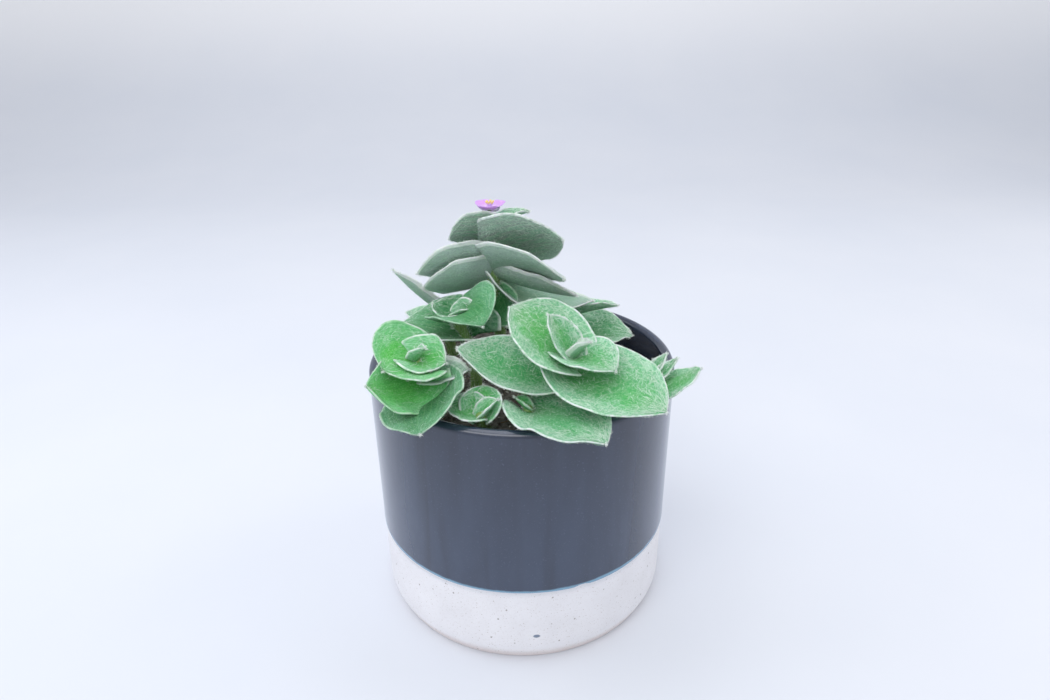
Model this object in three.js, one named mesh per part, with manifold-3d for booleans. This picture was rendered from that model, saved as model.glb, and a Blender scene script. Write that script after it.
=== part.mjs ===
// A potted Tradescantia sillamontana, the white velvet spiderwort, in millimetres with +Z up.
// The origin is the centre of the pot's foot, on the surface that the pot stands on.
// The pot is one fired piece. It holds soil, and each leafy shoot is one piece: a fleshy stem with its
// two ranks of keeled leaves, which clasp it at their bases.
import * as THREE from "three";
import { mergeVertices } from "three/addons/utils/BufferGeometryUtils.js";
import Module from "manifold-3d";

const wasm = await Module();
wasm.setup();

// ---- Driving dimensions ----

const POT = {
  radius: 63,
  height: 108,
  wall: 4.6,
  floor: 8,
  footRadius: 60.6, // where the bevelled foot meets the ground
  bevel: 5.5, // height of the foot's bevel
  glazeLine: 36, // the clay below this height is bare
  glazeStep: 0.35, // how far the glaze stands proud of the bare clay
  sides: 64,
};

const SOIL = {
  top: 97,
  wallGap: 0.4, // clearance from the pot all round
  shrink: 3.2, // how far the dry top edge has drawn in from the wall
  shoulder: 7, // height over which it draws in
  lump: 1.3,
  sides: 28,
};

const STEM = { footRadius: 2.9, topRadius: 1.5, sides: 8, steps: 6, hole: 0.4 };

// The blade's outline and section. Shares are of the blade's own half width.
const BLADE = {
  lengthSteps: 8,
  widthSteps: 4,
  widestAt: 0.42,
  baseShare: 0.46,
  tipShare: 0.05,
  tipPower: 0.74, // a smaller power gives a rounder tip
  cup: 12, // degrees that the margins curl in
  midThickness: 1.5,
  edgeThickness: 0.75,
  claspFold: 42, // degrees that each half folds up where it clasps the stem
  claspReach: 0.13, // share of the length over which that fold fades
  lobe: 0.15, // share of the length by which the margins reach back past the stem
  lobeReach: 0.2,
};

// Each shoot has a stem, from its foot in the soil over a bend to its top, and its leaves from the lowest up.
// at: place along the stem, 0 to 1. heading: compass angle of the blade, from +X towards +Y. rise: its slope
// where it leaves the stem. curl: how far it turns down by the tip. roll: tilt about its own length.
// fold: how far each half folds up from the keel. All angles are in degrees. lobe replaces BLADE.lobe.
const SHOOTS = {
  shoot_tall: {
    stem: [[-5, 15, 84], [-13, 12, 130], [-12, 13, 161]],
    leaves: [
      { at: 0.6, heading: -11, rise: -28, curl: -44, length: 43, width: 29, roll: -1, fold: -3 },
      { at: 0.63, heading: 204, rise: 4, curl: 0, length: 30, width: 28, roll: 49, fold: 2, lobe: 0.22 },
      { at: 0.66, heading: -30, rise: -8, curl: -10, length: 39, width: 21, roll: -37, fold: 6 },
      { at: 0.69, heading: 202, rise: 18, curl: 24, length: 32, width: 26, roll: 52, fold: 5 },
      { at: 0.67, heading: -45, rise: 31, curl: 40, length: 41, width: 34, roll: -39, fold: -6 },
      { at: 0.77, heading: -32, rise: 37, curl: 33, length: 36, width: 35, roll: -47, fold: -4 },
      { at: 0.89, heading: 193, rise: 23, curl: 38, length: 17, width: 26, roll: 46, fold: 2 },
      { at: 0.96, heading: 24, rise: 26, curl: 22, length: 18, width: 10, roll: 0, fold: 18 },
      { at: 0.54, heading: 284, rise: -27, curl: -26, length: 22, width: 20, roll: 28, fold: 4 },
    ],
  },
  shoot_mid_left: {
    stem: [[-21, -16, 84], [-14, -13, 110], [-26, -8, 128]],
    leaves: [
      { at: 0.77, heading: 153, rise: 16, curl: 22, length: 30, width: 40, roll: -5, fold: 5, lobe: 0.36 },
      { at: 0.96, heading: -57, rise: 58, curl: 87, length: 22, width: 31, roll: 17, fold: 12 },
      { at: 0.97, heading: 160, rise: 19, curl: -20, length: 12, width: 23, roll: -2, fold: 13 },
      { at: 0.98, heading: -16, rise: 50, curl: 36, length: 10, width: 14, roll: 10, fold: 26 },
    ],
  },
  shoot_front_left: {
    stem: [[-33, -24, 84], [-31, -34, 104], [-38.5, -38, 124]],
    leaves: [
      { at: 0.65, heading: 271, rise: 7, curl: 7, length: 34, width: 33, roll: 22, fold: -1 },
      { at: 0.8, heading: 222, rise: -17, curl: -60, length: 26, width: 28, roll: -38, fold: 8, lobe: 0.3 },
      { at: 0.76, heading: -4, rise: 23, curl: 10, length: 17, width: 15, roll: 20, fold: 14 },
      { at: 0.94, heading: 212, rise: 56, curl: 96, length: 15, width: 35, roll: -18, fold: 4, lobe: 0.3 },
      { at: 0.98, heading: -9, rise: 8, curl: 10, length: 11, width: 24, roll: 12, fold: 8, lobe: 0.6 },
      { at: 0.99, heading: -30, rise: 60, curl: 10, length: 8, width: 9, roll: 0, fold: 30 },
    ],
  },
  shoot_front: {
    stem: [[13, -16, 84], [14, -28, 105], [19, -36, 123]],
    leaves: [
      { at: 0.69, heading: 182, rise: 3, curl: -34, length: 43, width: 30, roll: -21, fold: 9 },
      { at: 0.79, heading: -40, rise: 7, curl: 18, length: 42, width: 38, roll: 10, fold: -4 },
      { at: 0.92, heading: 154, rise: 45, curl: 17, length: 31, width: 32, roll: -19, fold: 4 },
      { at: 0.98, heading: -38, rise: 17, curl: 28, length: 18, width: 25, roll: 4, fold: 7, lobe: 0.4 },
      { at: 0.98, heading: 150, rise: 59, curl: 4, length: 19, width: 14, roll: -20, fold: 16 },
      { at: 0.99, heading: -30, rise: 62, curl: 20, length: 11, width: 9, roll: 0, fold: 32 },
    ],
  },
  shoot_rim: {
    stem: [[-12, -34, 84], [-13, -44, 98], [-15, -52, 109]],
    leaves: [
      { at: 0.9, heading: 168, rise: 25, curl: 18, length: 13, width: 17, roll: -10, fold: 12 },
      { at: 0.86, heading: 88, rise: 52, curl: 18, length: 13, width: 17, roll: -8, fold: 11 },
      { at: 0.94, heading: 14, rise: 50, curl: 10, length: 9, width: 9, roll: 4, fold: 26 },
    ],
  },
  shoot_front_low: {
    stem: [[6, -34, 84], [3, -40, 97], [2, -45, 108]],
    leaves: [
      { at: 0.84, heading: -48, rise: 24, curl: 34, length: 38, width: 34, roll: -4, fold: -7, lobe: 0.08 },
      { at: 0.96, heading: 170, rise: 44, curl: 0, length: 6.5, width: 7, roll: 0, fold: 26 },
    ],
  },
  shoot_right: {
    stem: [[42, -24, 84], [43.5, -30, 97], [46.5, -34, 110.5]],
    leaves: [
      { at: 0.94, heading: -25, rise: 13, curl: -38, length: 24, width: 18, roll: 10, fold: -12 },
      { at: 0.92, heading: 35, rise: 44, curl: -8, length: 16, width: 8, roll: -2, fold: 22 },
      { at: 0.97, heading: 10, rise: 27, curl: -32, length: 16, width: 7, roll: 19, fold: 21 },
    ],
  },
  shoot_back_right: {
    stem: [[17, 15, 84], [19, 16, 104], [20, 15, 121]],
    leaves: [
      { at: 0.58, heading: 2, rise: 22, curl: 36, length: 30, width: 26, roll: 14, fold: 8 },
      { at: 0.92, heading: -4, rise: 20, curl: 12, length: 22, width: 15, roll: -14, fold: 16 },
    ],
  },
  shoot_back_left: {
    stem: [[-30, 26, 84], [-32, 26, 102], [-35, 25, 118]],
    leaves: [
      { at: 0.6, heading: 140, rise: 28, curl: 34, length: 27, width: 22, roll: 0, fold: 10 },
      { at: 0.95, heading: 185, rise: 40, curl: -12, length: 29, width: 12, roll: 34, fold: 13 },
    ],
  },
  shoot_back: {
    stem: [[0, 38, 84], [1, 38, 100], [0, 36, 116]],
    leaves: [
      { at: 0.62, heading: 64, rise: 38, curl: 56, length: 32, width: 25, roll: 0, fold: 10 },
      { at: 0.72, heading: 168, rise: 18, curl: 30, length: 26, width: 22, roll: 0, fold: 10 },
      { at: 0.93, heading: 20, rise: 30, curl: 30, length: 18, width: 15, roll: 0, fold: 16 },
    ],
  },
};

// The flower stands on a short stalk just clear of the tall shoot's top.
const FLOWER = {
  centre: [-12, 13.2, 165.4],
  stalk: 2.4,
  headings: [-100, 20, 140],
  petal: { rise: 42, curl: 34, length: 7.5, width: 9, roll: 0, fold: -4, clasp: -4, thickness: 0.7 },
  stamens: 5,
  stamenRing: 1.5,
  stamenLength: 2.2,
  anther: 0.55,
  gap: 0.35,
};

// ---- Shape helpers ----

const radians = THREE.MathUtils.degToRad;

// A closed body through rings of equal count. From ring point `mirrorFrom` on, the quads are split the other
// way, so that a flat ring's two faces are triangulated alike. Both ends are closed by a strip of quads.
function loft(rings, mirrorFrom = Infinity) {
  const count = rings[0].length;
  const faces = [];
  for (let i = 0; i + 1 < rings.length; i++) {
    for (let j = 0; j < count; j++) {
      const a = i * count + j;
      const b = i * count + ((j + 1) % count);
      const [c, d] = [b + count, a + count];
      if (j < mirrorFrom) faces.push(a, b, c, a, c, d);
      else faces.push(a, b, d, b, c, d);
    }
  }
  const last = (rings.length - 1) * count;
  for (let j = 0; j + 1 < count / 2; j++) {
    const [a, b, c, d] = [j, j + 1, count - 2 - j, count - 1 - j];
    faces.push(a, c, b, a, d, c);
    faces.push(last + a, last + b, last + c, last + a, last + c, last + d);
  }
  const geometry = new THREE.BufferGeometry();
  geometry.setFromPoints(rings.flat());
  geometry.setIndex(faces);
  return geometry;
}

function solidOf(geometry) {
  const bare = geometry.clone();
  bare.deleteAttribute("normal");
  bare.deleteAttribute("uv");
  const merged = mergeVertices(bare, 1e-4);
  const mesh = new wasm.Mesh({
    numProp: 3,
    vertProperties: Float32Array.from(merged.attributes.position.array),
    triVerts: Uint32Array.from(merged.index.array),
  });
  return new wasm.Manifold(mesh);
}

function geometryOf(solid) {
  const mesh = solid.getMesh();
  const geometry = new THREE.BufferGeometry();
  geometry.setAttribute("position", new THREE.BufferAttribute(mesh.vertProperties, 3));
  geometry.setIndex(new THREE.BufferAttribute(mesh.triVerts, 1));
  geometry.computeVertexNormals();
  return geometry;
}

// ---- Leafy shoots ----

function stemCurve(shoot) {
  return new THREE.QuadraticBezierCurve3(...shoot.stem.map((p) => new THREE.Vector3(...p)));
}

// The stem as a tapering tube. With extra it is that much fatter all round, and deeper, for its hole.
function stemGeometry(shoot, extra = 0) {
  const curve = stemCurve(shoot);
  const rings = [];
  for (let i = 0; i <= STEM.steps; i++) {
    const t = i / STEM.steps;
    const centre = curve.getPoint(t);
    const along = curve.getTangent(t);
    const across = new THREE.Vector3(0, 1, 0).cross(along).normalize();
    const over = along.clone().cross(across);
    const radius = THREE.MathUtils.lerp(STEM.footRadius, STEM.topRadius, t) + extra;
    if (i === 0) centre.addScaledVector(along, -extra);
    rings.push(Array.from({ length: STEM.sides }, (_, k) => {
      const turn = (k / STEM.sides) * 2 * Math.PI;
      return centre.clone()
        .addScaledVector(across, radius * Math.cos(turn))
        .addScaledVector(over, radius * Math.sin(turn));
    }));
  }
  return loft(rings);
}

// Half the blade's width at u, from the base (0) to the tip (1), as a share of its widest.
function outlineShare(u) {
  const swell = Math.min(u / BLADE.widestAt, 1);
  const taper = Math.max((u - BLADE.widestAt) / (1 - BLADE.widestAt), 0);
  const base = BLADE.baseShare + (1 - BLADE.baseShare) * Math.sqrt(1 - (1 - swell) ** 2);
  return Math.max(base * (1 - taper ** 2) ** BLADE.tipPower, BLADE.tipShare);
}

// One blade as a closed body, from its root inside the stem to its tip.
function bladeGeometry(root, leaf) {
  const heading = radians(leaf.heading);
  const out = new THREE.Vector3(Math.cos(heading), Math.sin(heading), 0);
  const left = new THREE.Vector3(-out.y, out.x, 0);
  const up = new THREE.Vector3(0, 0, 1);
  const steps = BLADE.lengthSteps;
  const centre = root.clone();
  const rings = [];
  for (let i = 0; i <= steps; i++) {
    const u = i / steps;
    if (i > 0) {
      const slope = radians(leaf.rise - leaf.curl * (u - 0.5 / steps));
      const stride = leaf.length / steps;
      centre.addScaledVector(out, stride * Math.cos(slope)).addScaledVector(up, stride * Math.sin(slope));
    }
    const slope = radians(leaf.rise - leaf.curl * u);
    const along = out.clone().multiplyScalar(Math.cos(slope)).addScaledVector(up, Math.sin(slope));
    const side = left.clone().applyAxisAngle(along, radians(leaf.roll));
    const face = along.clone().cross(side);
    const half = (leaf.width / 2) * outlineShare(u);
    const clasp = Math.exp(-u / BLADE.claspReach);
    const fold = THREE.MathUtils.lerp(leaf.fold, leaf.clasp ?? BLADE.claspFold, clasp);
    const lobe = (leaf.lobe ?? BLADE.lobe) * leaf.length * Math.exp(-u / BLADE.lobeReach);
    const top = [];
    const bottom = [];
    for (let j = 0; j <= BLADE.widthSteps; j++) {
      const v = 1 - (2 * j) / BLADE.widthSteps;
      const lean = radians(fold + BLADE.cup * Math.abs(v)) * Math.sign(v);
      const place = centre.clone()
        .addScaledVector(side, half * Math.abs(v) * Math.cos(lean) * Math.sign(v))
        .addScaledVector(face, half * Math.abs(v) * Math.sin(Math.abs(lean)))
        .addScaledVector(along, -lobe * v * v);
      const normal = face.clone().multiplyScalar(Math.cos(lean)).addScaledVector(side, -Math.sin(lean));
      const ownThickness = THREE.MathUtils.lerp(BLADE.midThickness, BLADE.edgeThickness, v * v);
      const thickness = leaf.thickness ?? ownThickness;
      top.push(place.clone().addScaledVector(normal, thickness / 2));
      bottom.push(place.clone().addScaledVector(normal, -thickness / 2));
    }
    rings.push([...top, ...bottom.reverse()]);
  }
  return loft(rings, BLADE.widthSteps + 1);
}

function shootSolid(shoot) {
  const curve = stemCurve(shoot);
  const whole = shoot.leaves.reduce(
    (joined, leaf) => joined.add(solidOf(bladeGeometry(curve.getPoint(leaf.at), leaf))),
    solidOf(stemGeometry(shoot)),
  );
  // Two faces that graze each other can leave an empty sliver, so only the real body is kept.
  return whole.decompose().reduce((best, body) => (body.volume() > best.volume() ? body : best));
}

// ---- Flower ----

function petalsSolid() {
  const centre = new THREE.Vector3(...FLOWER.centre);
  const stalk = new THREE.CylinderGeometry(1.3, 0.9, FLOWER.stalk, 8).rotateX(Math.PI / 2);
  stalk.translate(centre.x, centre.y, centre.z - FLOWER.stalk / 2 + 0.6);
  return FLOWER.headings.reduce(
    (whole, heading) => whole.add(solidOf(bladeGeometry(centre, { ...FLOWER.petal, heading }))),
    solidOf(stalk),
  );
}

function stamensSolid() {
  const [x, y, z] = FLOWER.centre;
  const foot = z + 1.2 + FLOWER.gap;
  const base = new THREE.CylinderGeometry(FLOWER.stamenRing, 0.5, 0.8, 8).rotateX(Math.PI / 2);
  base.translate(x, y, foot + 0.4);
  let whole = solidOf(base);
  for (let k = 0; k < FLOWER.stamens; k++) {
    const turn = (k / FLOWER.stamens) * 2 * Math.PI;
    const [dx, dy] = [(FLOWER.stamenRing - 0.4) * Math.cos(turn), (FLOWER.stamenRing - 0.4) * Math.sin(turn)];
    const filament = new THREE.CylinderGeometry(0.3, 0.3, FLOWER.stamenLength, 6).rotateX(Math.PI / 2);
    filament.translate(x + dx, y + dy, foot + 0.3 + FLOWER.stamenLength / 2);
    const anther = new THREE.IcosahedronGeometry(FLOWER.anther, 0);
    anther.translate(x + dx, y + dy, foot + 0.3 + FLOWER.stamenLength);
    whole = whole.add(solidOf(filament)).add(solidOf(anther));
  }
  return whole;
}

// ---- Pot ----

function potGeometry() {
  const { radius, height, wall, floor, footRadius, bevel, glazeLine, glazeStep } = POT;
  const bare = radius - glazeStep;
  const lip = wall / 2;
  const profile = [[0, 0], [footRadius - 1, 0], [footRadius, 0.8], [bare, bevel], [bare, glazeLine]];
  profile.push([radius, glazeLine + glazeStep]);
  for (let k = 0; k <= 4; k++) {
    const turn = (k / 4) * Math.PI;
    profile.push([radius - lip + lip * Math.cos(turn), height - lip + lip * Math.sin(turn)]);
  }
  profile.push([radius - wall, floor + 6], [radius - wall - 6, floor], [0, floor]);
  const outline = profile.map(([r, z]) => new THREE.Vector2(r, z));
  return new THREE.LatheGeometry(outline, POT.sides).rotateX(Math.PI / 2);
}

// ---- Soil, with a plain hole for each stem ----

function soilGeometry() {
  const inner = POT.radius - POT.wall - SOIL.wallGap;
  const bottom = POT.floor + SOIL.wallGap;
  const profile = [[0, bottom], [inner - 6.4, bottom], [inner, bottom + 6.4]];
  profile.push([inner, SOIL.top - SOIL.shoulder]);
  const rings = 5;
  for (let k = 0; k <= rings; k++) {
    const share = 1 - k / rings;
    profile.push([(inner - SOIL.shrink) * share, SOIL.top - 2.2 * share ** 2]);
  }
  const outline = profile.map(([r, z]) => new THREE.Vector2(r, z));
  const geometry = new THREE.LatheGeometry(outline, SOIL.sides).rotateX(Math.PI / 2);
  const place = geometry.attributes.position;
  for (let i = 0; i < place.count; i++) {
    const [x, y, z] = [place.getX(i), place.getY(i), place.getZ(i)];
    if (z > SOIL.top - 3) {
      const lump = Math.sin(x / 5.1 + 0.7 * Math.sin(y / 6.3)) * Math.cos(y / 4.3 + 0.5 * Math.sin(x / 7.7));
      place.setZ(i, z + SOIL.lump * lump);
    }
  }
  return geometry;
}

// ---- Assembly ----

const MATERIALS = {
  glazed_clay: new THREE.MeshStandardMaterial({ color: 0x4b5260, roughness: 0.25, metalness: 0 }),
  soil: new THREE.MeshStandardMaterial({ color: 0x8f857b, roughness: 0.95, metalness: 0 }),
  petal: new THREE.MeshStandardMaterial({ color: 0xcc9cf0, roughness: 0.6, metalness: 0 }),
  pollen: new THREE.MeshStandardMaterial({ color: 0xf2e6a0, roughness: 0.8, metalness: 0 }),
  foliage: new THREE.MeshStandardMaterial({ color: 0x6fae72, roughness: 0.75, metalness: 0 }),
};

const plant = new THREE.Group();

function addPart(name, geometry, material) {
  const mesh = new THREE.Mesh(geometry, material);
  mesh.name = name;
  plant.add(mesh);
}

addPart("pot", potGeometry(), MATERIALS.glazed_clay);

let soil = solidOf(soilGeometry());
for (const shoot of Object.values(SHOOTS)) soil = soil.subtract(solidOf(stemGeometry(shoot, STEM.hole)));
addPart("soil", geometryOf(soil), MATERIALS.soil);

for (const [name, shoot] of Object.entries(SHOOTS)) {
  addPart(name, geometryOf(shootSolid(shoot)), MATERIALS.foliage);
}

addPart("flower_petals", geometryOf(petalsSolid()), MATERIALS.petal);
addPart("flower_stamens", geometryOf(stamensSolid()), MATERIALS.pollen);

export default plant;
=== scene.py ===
# A potted white velvet spiderwort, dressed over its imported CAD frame. Blender works in metres, and
# shapes are worked out in millimetres, in the frame's own axes, and scaled once when a mesh is made.
import math

import bpy
import numpy as np
from mathutils import Matrix, Vector
from mathutils.bvhtree import BVHTree


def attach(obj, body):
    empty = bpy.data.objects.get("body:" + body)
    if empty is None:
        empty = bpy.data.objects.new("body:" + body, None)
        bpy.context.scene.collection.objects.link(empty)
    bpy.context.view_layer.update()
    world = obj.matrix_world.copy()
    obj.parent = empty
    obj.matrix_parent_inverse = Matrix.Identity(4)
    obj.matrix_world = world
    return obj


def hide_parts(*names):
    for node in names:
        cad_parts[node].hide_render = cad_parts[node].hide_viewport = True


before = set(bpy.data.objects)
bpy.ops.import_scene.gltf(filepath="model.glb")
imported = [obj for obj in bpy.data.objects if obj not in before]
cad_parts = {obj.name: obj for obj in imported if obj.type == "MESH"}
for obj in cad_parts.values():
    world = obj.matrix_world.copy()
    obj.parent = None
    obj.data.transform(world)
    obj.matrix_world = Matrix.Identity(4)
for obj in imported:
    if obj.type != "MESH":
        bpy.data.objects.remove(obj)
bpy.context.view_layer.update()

scene = bpy.context.scene

# ---- Camera, floor and light ----
# The camera stands in front of the pot at about arm's length and looks down on it. The floor is plain
# and pale and sweeps up behind. The light is a bright soft sky and four large soft panels.
CAMERA_AT = (0, -0.2734, 0.2408)
LOOK_DOWN, LOOK_RIGHT, LEAN = math.radians(25.63), math.radians(0.304), math.radians(-0.589)

camera = bpy.data.objects.new("camera", bpy.data.cameras.new("camera"))
scene.collection.objects.link(camera)
scene.camera = camera
camera.data.sensor_width = 36
camera.data.lens = 24.89
camera.data.clip_start = 0.01
aim = Matrix.Rotation(-LOOK_RIGHT, 4, "Z") @ Matrix.Rotation(math.pi / 2 - LOOK_DOWN, 4, "X")
aim = aim @ Matrix.Rotation(LEAN, 4, "Z")
camera.matrix_world = Matrix.Translation(CAMERA_AT) @ aim


class Value:
    """One number of a shader, so that shader maths reads as plain arithmetic."""

    def __init__(self, look, socket):
        self.look, self.socket = look, socket

    def math(self, operation, first, second=None):
        node = self.look.add("ShaderNodeMath", {"operation": operation}, {0: first})
        if second is not None:
            self.look.feed(node.inputs[1], second)
        return Value(self.look, node.outputs[0])

    def __add__(self, other):
        return self.math("ADD", self, other)

    def __radd__(self, other):
        return self.math("ADD", other, self)

    def __sub__(self, other):
        return self.math("SUBTRACT", self, other)

    def __rsub__(self, other):
        return self.math("SUBTRACT", other, self)

    def __mul__(self, other):
        return self.math("MULTIPLY", self, other)

    def __rmul__(self, other):
        return self.math("MULTIPLY", other, self)

    def __truediv__(self, other):
        return self.math("DIVIDE", self, other)

    def __rtruediv__(self, other):
        return self.math("DIVIDE", other, self)

    def __pow__(self, other):
        return self.math("POWER", self, other)

    def __abs__(self):
        return self.math("ABSOLUTE", self)

    def sin(self):
        return self.math("SINE", self)

    def least(self, other):
        return self.math("MINIMUM", self, other)

    def most(self, other):
        return self.math("MAXIMUM", self, other)

    def above(self, other):
        return self.math("GREATER_THAN", self, other)

    def ramp(self, start, end):
        """0 at start, 1 at end, and smooth between them."""
        inputs = {"Value": self, "From Min": start, "From Max": end}
        node = self.look.add("ShaderNodeMapRange", {"interpolation_type": "SMOOTHSTEP"}, inputs)
        return Value(self.look, node.outputs["Result"])


class Look:
    """A procedural material: one Principled shader, and the nodes that feed it."""

    def __init__(self, name, **constants):
        self.material = bpy.data.materials.new(name)
        self.material.use_nodes = True
        self.tree = self.material.node_tree
        self.shader = self.tree.nodes["Principled BSDF"]
        self.set(**constants)

    def feed(self, socket, value):
        """Links a socket to another one, or sets it to a plain value."""
        if isinstance(value, Value):
            value = value.socket
        if isinstance(value, bpy.types.NodeSocket):
            self.tree.links.new(value, socket)
        else:
            socket.default_value = value

    def add(self, kind, settings=None, inputs=None):
        """A node of this kind: its settings first, and then what its sockets get."""
        node = self.tree.nodes.new(kind)
        for key, value in (settings or {}).items():
            setattr(node, key, value)
        for key, value in (inputs or {}).items():
            self.feed(node.inputs[key], value)
        return node

    def set(self, **inputs):
        """Feeds the shader's own sockets."""
        for key, value in inputs.items():
            self.feed(self.shader.inputs[key.replace("_", " ")], value)

    def attribute(self, name):
        """The vector that a mesh carries under this name."""
        return self.add("ShaderNodeAttribute", {"attribute_name": name}).outputs["Vector"]

    def split(self, vector):
        """A vector's three numbers."""
        parts = self.add("ShaderNodeSeparateXYZ", None, {0: vector}).outputs
        return [Value(self, part) for part in parts]

    def place(self):
        """The point in millimetres, in the frame's axes."""
        spot = self.add("ShaderNodeTexCoord").outputs["Object"]
        return self.stretch(spot, (1000, 1000, 1000))

    def vector_math(self, operation, vector, other):
        inputs = {0: vector, 1: other}
        return self.add("ShaderNodeVectorMath", {"operation": operation}, inputs).outputs[0]

    def stretch(self, vector, by):
        return self.vector_math("MULTIPLY", vector, by)

    def noise(self, vector, size, detail=2.0, rough=0.5, twist=0.0):
        """Noise from about 0.2 to 0.8, with lumps of about the given size."""
        inputs = {"Vector": vector, "Scale": 1 / size, "Detail": detail}
        inputs.update({"Roughness": rough, "Distortion": twist})
        return Value(self, self.add("ShaderNodeTexNoise", None, inputs).outputs["Fac"])

    def strands(self, vector, size, width):
        """Thin wandering lines about this far apart, such as lying hairs: 1 on a line and 0 off it."""
        wander = self.noise(vector, size, 1, 0.4, 0.5)
        return 1 - abs(wander - 0.5).ramp(width * 0.2, width)

    def cells(self, vector, size):
        """Distance to the nearest cell centre, in cells, and a random number for each cell."""
        inputs = {"Vector": vector, "Scale": 1 / size}
        node = self.add("ShaderNodeTexVoronoi", {"feature": "F1"}, inputs)
        return Value(self, node.outputs["Distance"]), self.split(node.outputs["Color"])[0]

    def mix(self, share, first, second):
        """The first colour where share is 0, and the second where it is 1."""
        node = self.add("ShaderNodeMix", {"data_type": "RGBA"}, {0: share, 6: first, 7: second})
        return node.outputs[2]

    def bump(self, height, distance, strength):
        """Relief of about this many millimetres."""
        inputs = {"Height": height, "Distance": distance / 1000, "Strength": strength}
        self.set(Normal=self.add("ShaderNodeBump", None, inputs).outputs["Normal"])


def paint(code):
    """A screen colour such as 8fbf8f as the linear colour that shaders take."""
    parts = [int(code[k:k + 2], 16) / 255 for k in (0, 2, 4)]
    return tuple(c / 12.92 if c <= 0.04045 else ((c + 0.055) / 1.055) ** 2.4 for c in parts) + (1.0,)


def make_mesh(name, vertices, faces, looks, slots=None, attributes=None, smooth=True):
    """A new object from points in millimetres. slots gives each face's place in looks."""
    mesh = bpy.data.meshes.new(name)
    mesh.from_pydata((np.asarray(vertices) / 1000).tolist(), [], faces)
    for look in looks:
        mesh.materials.append(look.material)
    if slots is not None:
        mesh.polygons.foreach_set("material_index", np.asarray(slots, dtype=np.int32))
    mesh.polygons.foreach_set("use_smooth", np.full(len(mesh.polygons), smooth))
    for key, values in (attributes or {}).items():
        layer = mesh.attributes.new(key, "FLOAT_VECTOR", "POINT")
        layer.data.foreach_set("vector", np.asarray(values, dtype=np.float32).ravel())
    mesh.update()
    piece = bpy.data.objects.new(name, mesh)
    scene.collection.objects.link(piece)
    return piece


floor_look = Look("floor", Roughness=0.5, Specular_IOR_Level=0.3)
spot = floor_look.place()
height = floor_look.split(spot)[2]
pale = floor_look.mix(floor_look.noise(spot, 160, 4), paint("d8dde7"), paint("e2e5ec"))
# Painted light: the floor is painted lighter as it sweeps up behind, from 60 mm to 290 mm high.
floor_look.set(Base_Color=floor_look.mix(height.ramp(60, 290), pale, paint("fbfcff")))

FLOOR_FRONT, SWEEP_START, SWEEP_RADIUS, SWEEP_STEPS = -2600, 700, 900, 16
WALL_TOP, HALF_WIDTH = 3200, 4200
profile = [(FLOOR_FRONT, 0), (SWEEP_START, 0)]
for k in range(1, SWEEP_STEPS + 1):
    bend = math.pi / 2 * k / SWEEP_STEPS
    profile.append((SWEEP_START + SWEEP_RADIUS * math.sin(bend), SWEEP_RADIUS * (1 - math.cos(bend))))
profile.append((SWEEP_START + SWEEP_RADIUS, WALL_TOP))
vertices = [(side, y, z) for y, z in profile for side in (-HALF_WIDTH, HALF_WIDTH)]
faces = [(2 * k, 2 * k + 1, 2 * k + 3, 2 * k + 2) for k in range(len(profile) - 1)]
floor = make_mesh("floor", vertices, faces, [floor_look])

SKY_TINT, SKY_STRENGTH = "f1f3f8", 0.72
world = bpy.data.worlds.new("sky")
world.use_nodes = True
sky = world.node_tree.nodes["Background"].inputs
sky["Color"].default_value = paint(SKY_TINT)
sky["Strength"].default_value = SKY_STRENGTH
scene.world = world
scene.view_settings.view_transform = "Standard"

# Places and sizes are in metres, power is in watts, and every panel faces the plant.
PLANT_MIDDLE = Vector((0, 0, 0.08))
PANELS = {
    "panel_left": {"at": (-0.75, 0.1, 0.55), "size": (0.5, 0.9), "power": 1.2, "tint": "f4f8ff"},
    "panel_right": {"at": (0.85, 0.25, 0.5), "size": (0.5, 0.9), "power": 1.6, "tint": "fffaf4"},
    "panel_front": {"at": (-0.35, -0.85, 1.0), "size": (0.9, 0.6), "power": 4.8, "tint": "fffdfa"},
    "panel_top": {"at": (-0.1, 0.1, 1.1), "size": (1.0, 0.8), "power": 4.7, "tint": "fbfcff"},
}
for name, panel in PANELS.items():
    light = bpy.data.lights.new(name, "AREA")
    light.shape = "RECTANGLE"
    light.size, light.size_y = panel["size"]
    light.energy = panel["power"]
    light.color = paint(panel["tint"])[:3]
    lamp = bpy.data.objects.new(name, light)
    scene.collection.objects.link(lamp)
    lamp.location = panel["at"]
    lamp.rotation_euler = (PLANT_MIDDLE - lamp.location).to_track_quat("-Z", "Y").to_euler()

# ---- Pot ----
# One piece of stoneware, straight-sided with a rounded lip and a bevelled foot. It is dipped in slate
# glaze down to a slightly uneven line. Below that line the pale speckled clay is bare and matt.
RADIUS, HEIGHT, WALL, FLOOR_HEIGHT = 63.0, 108.0, 4.6, 8.0
FOOT_RADIUS, BEVEL, GLAZE_LINE, GLAZE_STEP = 60.6, 5.5, 36.0, 0.35
DEEPER_FROM, DEEPER_TO = 45.0, 104.0
RUN_TURN, RUN_WIDTH, RUN_DROP = math.radians(291), 0.035, 0.9
FLECK_X, FLECK_Z, FLECK_WIDE, FLECK_HIGH = 4.6, 13.4, 1.5, 0.9
POT_SIDES, LIP_STEPS, NEAR_AXIS = 180, 12, 0.001
# The outline's first bands, from under the foot up to the glaze's edge, are bare clay.
CLAY_BANDS, GLAZE_SLOT, CLAY_SLOT = 10, 0, 1

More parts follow.
